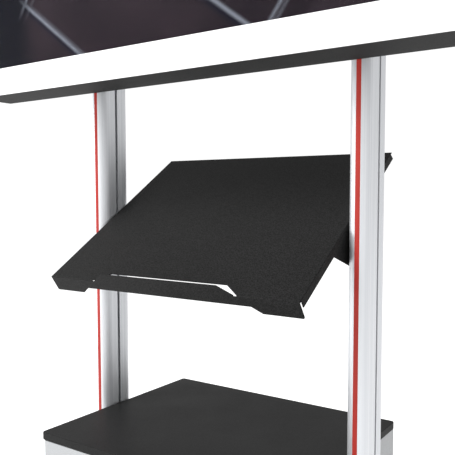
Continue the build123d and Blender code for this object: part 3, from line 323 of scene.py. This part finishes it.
# --- Materials by slot -----------------------------------------------------------------------
MATERIALS = {
    "anodised_aluminium": anodised("anodised_aluminium"),
    "red_insert": moulded("red_insert", (0.37, 0.028, 0.021), (0.42, 0.034, 0.026), specular=0.2),
    "dark_powder_coat": powder_coat("dark_powder_coat", grey(0.012), grey(0.034)),
    "tray_powder_coat": powder_coat("tray_powder_coat", grey(0.004), grey(0.021), specular=0.12),
    "black_plastic": moulded("black_plastic", grey(0.012), grey(0.018)),
    "foot_plastic": moulded("foot_plastic", grey(0.010), grey(0.016), (0.5, 0.65)),
    "zinc_steel": brushed("zinc_steel", (0.50, 0.51, 0.53), (0.64, 0.65, 0.67)),
    "dark_laminate": laminate("dark_laminate", grey(0.009), grey(0.020), specular=0.08),
    "grey_laminate": laminate("grey_laminate", (0.38, 0.39, 0.40), (0.44, 0.45, 0.46)),
    "satin_metal": brushed("satin_metal", (0.50, 0.51, 0.53), (0.62, 0.63, 0.65)),
    "white_frame": moulded("white_frame", grey(0.90), grey(0.93), (0.3, 0.4)),
    "screen_glass": cover_glass("screen_glass"),
    "picture": picture("picture"),
    "display_housing": powder_coat("display_housing", grey(0.009), grey(0.030), specular=0.07),
    "electronics_case": powder_coat("electronics_case", grey(0.22), grey(0.32)),
}


def dress_nodes():
    """Give every CAD node the material of its slot."""
    slots = {part["node"]: part["material_slot"] for part in frame["record"]["subparts"]}
    for name, node in NODES.items():
        for material_slot in node.material_slots:
            material_slot.material = MATERIALS[slots[name]]


# --- Pieces of fine detail ----------------------------------------------------------------------
def mesh_piece(name, bm, slot, body="frame"):
    """Turn bm into an object that rides on body and takes the finish of slot."""
    bmesh.ops.recalc_face_normals(bm, faces=bm.faces)
    mesh = bpy.data.meshes.new(name)
    bm.to_mesh(mesh)
    bm.free()
    mesh.materials.append(MATERIALS[slot])
    piece = bpy.data.objects.new(name, mesh)
    bpy.context.scene.collection.objects.link(piece)
    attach(piece, body)
    return piece


def hexagon_radius(angle, flat):
    """Distance from the middle of a hexagon to its side at angle; flat is the distance to a side's middle."""
    return flat / cos(angle % (pi / 3) - pi / 6)


def add_ring(bm, centre, height, radius_at):
    """Ring of vertices round the +Y axis through centre, height out along it."""
    ring = []
    for step in range(RING_STEPS):
        angle = 2 * pi * step / RING_STEPS
        radius = radius_at(angle)
        x = centre[0] + radius * cos(angle)
        z = centre[2] + radius * sin(angle)
        ring.append(bm.verts.new((x, centre[1] + height, z)))
    return ring


def bridge(bm, first, second, smooth):
    """Faces between two rings of the same length."""
    for index in range(len(first)):
        after = (index + 1) % len(first)
        face = bm.faces.new((first[index], first[after], second[after], second[index]))
        face.smooth = smooth


def add_screw(bm, centre, radius):
    """Domed screw head with a hexagon socket, facing +Y."""
    height = 0.5 * radius
    flat = 0.42 * radius
    rings = [add_ring(bm, centre, 0.0, lambda angle: radius)]
    for step in range(1, DOME_STEPS + 1):
        turn = step / DOME_STEPS * DOME_TURN
        dome_radius = radius * (DOME_FLAT + (1 - DOME_FLAT) * cos(turn))
        rings.append(add_ring(bm, centre, height * sin(turn) / sin(DOME_TURN),
                              lambda angle, dome_radius=dome_radius: dome_radius))
    rings.append(add_ring(bm, centre, height, lambda angle: hexagon_radius(angle, flat)))
    rings.append(add_ring(bm, centre, 0.25 * height, lambda angle: hexagon_radius(angle, flat)))
    for index in range(len(rings) - 1):
        bridge(bm, rings[index], rings[index + 1], index < DOME_STEPS)
    bm.faces.new(rings[0])
    bm.faces.new(rings[-1])


def rim_places(low, high, inset, across, up):
    """Places of screws round a rectangle in the XZ plane, evenly spaced along each side."""
    xs = [low.x + inset + (high.x - low.x - 2 * inset) * step / (across - 1) for step in range(across)]
    zs = [low.z + inset + (high.z - low.z - 2 * inset) * step / (up - 1) for step in range(up)]
    places = [(x, z) for x in xs for z in (zs[0], zs[-1])]
    return places + [(x, z) for x in (xs[0], xs[-1]) for z in zs[1:-1]]


def add_rim_screws(name, node, back_y, inset, across, up):
    """One piece with all the screws round the back of a CAD node."""
    bm = bmesh.new()
    low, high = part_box(node)
    for x, z in rim_places(low, high, inset, across, up):
        add_screw(bm, (x, back_y, z), SCREW_RADIUS)
    mesh_piece(name, bm, "zinc_steel")


def rounded_outline(low, high, radius):
    """Points round a rectangle in the XY plane with round corners."""
    corners = (
        (high.x, high.y, 0.0),
        (low.x, high.y, 0.5 * pi),
        (low.x, low.y, pi),
        (high.x, low.y, 1.5 * pi),
    )
    points = []
    for x, y, start in corners:
        centre_x = x - radius if x == high.x else x + radius
        centre_y = y - radius if y == high.y else y + radius
        for step in range(CORNER_STEPS + 1):
            angle = start + 0.5 * pi * step / CORNER_STEPS
            points.append((centre_x + radius * cos(angle), centre_y + radius * sin(angle)))
    return points


def add_top_edge_band():
    """Edge band round the cabinet's top board: a thin strip with eased edges, proud of the board."""
    low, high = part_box("cabinet_top")
    bm = bmesh.new()
    loops = []
    section = (
        (0.0, low.z + BAND_INSET_Z),
        (-BAND_PROUD, low.z + BAND_EASED_Z),
        (-BAND_PROUD, high.z - BAND_EASED_Z),
        (0.0, high.z - BAND_INSET_Z),
        (BAND_SINK, high.z - BAND_EASED_Z),
        (BAND_SINK, low.z + BAND_EASED_Z),
    )
    for inset, z in section:
        step = Vector((inset, inset, 0))
        outline = rounded_outline(low + step, high - step, TOP_CORNER - inset)
        loops.append([bm.verts.new((x, y, z)) for x, y in outline])
    for index in range(len(loops)):
        bridge(bm, loops[index], loops[(index + 1) % len(loops)], False)
    mesh_piece("top_edge_band", bm, "dark_laminate")


def add_weld(name, plane_x, side):
    """Weld bead round one end of the cross tube: a row of overlapping ripples."""
    tube_low, tube_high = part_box("cross_tube")
    middle_z = (tube_low.z + tube_high.z) / 2
    half = CROSS_TUBE_HALF
    bm = bmesh.new()
    ripples = int(8 * half / WELD_PITCH)
    for index in range(ripples):
        run = index * WELD_PITCH
        edge, along = int(run // (2 * half)), run % (2 * half) - half
        y, z = ((along, half), (half, -along), (-along, -half), (-half, along))[edge]
        ripple = bmesh.ops.create_icosphere(bm, subdivisions=2, radius=WELD_RADIUS)
        centre = Vector((plane_x - side * WELD_RADIUS * WELD_SINK, y, middle_z + z))
        bmesh.ops.translate(bm, verts=ripple["verts"], vec=centre)
    for face in bm.faces:
        face.smooth = True
    mesh_piece(name, bm, "dark_powder_coat")


def add_detail():
    """Every small piece that the CAD model leaves to this script."""
    housing_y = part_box("connector_panel")[1].y
    add_rim_screws("housing_rim_screws", "display_housing", housing_y, HOUSING_SCREW_INSET, *HOUSING_SCREWS)
    board_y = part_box("cabinet_back")[1].y
    add_rim_screws("back_board_screws", "cabinet_back", board_y, BACK_BOARD_SCREW_INSET, *BACK_BOARD_SCREWS)
    add_top_edge_band()
    plate_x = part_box("cross_tube")[1].x - CROSS_PLATE
    add_weld("right_cross_tube_weld", plate_x, 1)
    add_weld("left_cross_tube_weld", -plate_x, -1)


# --- Floor, lights, surroundings and camera -----------------------------------------------------
def add_floor():
    """Large pale floor under the workstation."""
    mesh = bpy.data.meshes.new("studio_floor")
    signs = ((-1, -1), (1, -1), (1, 1), (-1, 1))
    corners = [(x * FLOOR_HALF, y * FLOOR_HALF, 0) for x, y in signs]
    mesh.from_pydata(corners, [], [(0, 1, 2, 3)])
    floor = bpy.data.objects.new("studio_floor", mesh)
    bpy.context.scene.collection.objects.link(floor)
    shader = Shader("pale_floor")
    cloud = shader.noise(0.8, 2.0, 0.5)
    shader.link(shader.ramp(cloud, [(0.3, grey(0.93)), (0.7, grey(0.95))]), shader.bsdf.inputs["Base Color"])
    shader.set(Roughness=0.9)
    shader.set(Emission_Color=(1, 1, 1, 1))
    shader.set(Emission_Strength=FLOOR_GLOW)
    mesh.materials.append(shader.material)


def add_area_light(name, place, target, size, power):
    """Rectangular softbox at place, turned towards target."""
    light = bpy.data.lights.new(name, "AREA")
    light.shape = "RECTANGLE"
    light.size, light.size_y = size
    light.energy = power
    lamp = bpy.data.objects.new(name, light)
    lamp.location = place
    lamp.rotation_euler = (Vector(target) - Vector(place)).to_track_quat("-Z", "Y").to_euler()
    bpy.context.scene.collection.objects.link(lamp)


def add_world():
    """White surroundings: full white behind the object, softer as a light."""
    world = bpy.data.worlds.new("studio")
    world.use_nodes = True
    tree = world.node_tree
    fill = tree.nodes["Background"]
    fill.inputs["Color"].default_value = (1, 1, 1, 1)
    fill.inputs["Strength"].default_value = FILL_STRENGTH
    backdrop = tree.nodes.new("ShaderNodeBackground")
    backdrop.inputs["Color"].default_value = (1, 1, 1, 1)
    backdrop.inputs["Strength"].default_value = BACKDROP_STRENGTH
    ray = tree.nodes.new("ShaderNodeLightPath")
    mix = tree.nodes.new("ShaderNodeMixShader")
    tree.links.new(ray.outputs["Is Camera Ray"], mix.inputs["Fac"])
    tree.links.new(fill.outputs["Background"], mix.inputs[1])
    tree.links.new(backdrop.outputs["Background"], mix.inputs[2])
    tree.links.new(mix.outputs["Shader"], tree.nodes["World Output"].inputs["Surface"])
    bpy.context.scene.world = world


def add_camera():
    """Camera at a standing user's right, looking across the tray."""
    data = bpy.data.cameras.new("camera")
    data.lens = LENS_MM
    data.sensor_width = SENSOR_MM
    data.shift_x, data.shift_y = SHIFT
    data.clip_end = 100.0
    camera = bpy.data.objects.new("camera", data)
    forward = EYE_FORWARD.normalized()
    right = (EYE_RIGHT - forward * EYE_RIGHT.dot(forward)).normalized()
    up = right.cross(forward)
    rotation = Matrix((right, up, -forward)).transposed()
    camera.matrix_world = Matrix.Translation(EYE) @ rotation.to_4x4()
    bpy.context.scene.collection.objects.link(camera)
    bpy.context.scene.camera = camera


add_camera()
dress_nodes()
add_detail()
add_floor()
add_world()
add_area_light("key_light", (-1.7, -2.1, 3.5), (0, 0, 0.9), (1.8, 1.8), 110)
add_area_light("front_light", (-1.4, -3.2, 1.0), (0, 0, 1.0), (1.6, 2.0), 12)
add_area_light("left_light", (-3.0, -0.7, 1.1), (0.3, 0, 1.1), (1.4, 2.0), 26)
bpy.context.scene.view_settings.view_transform = "Standard"
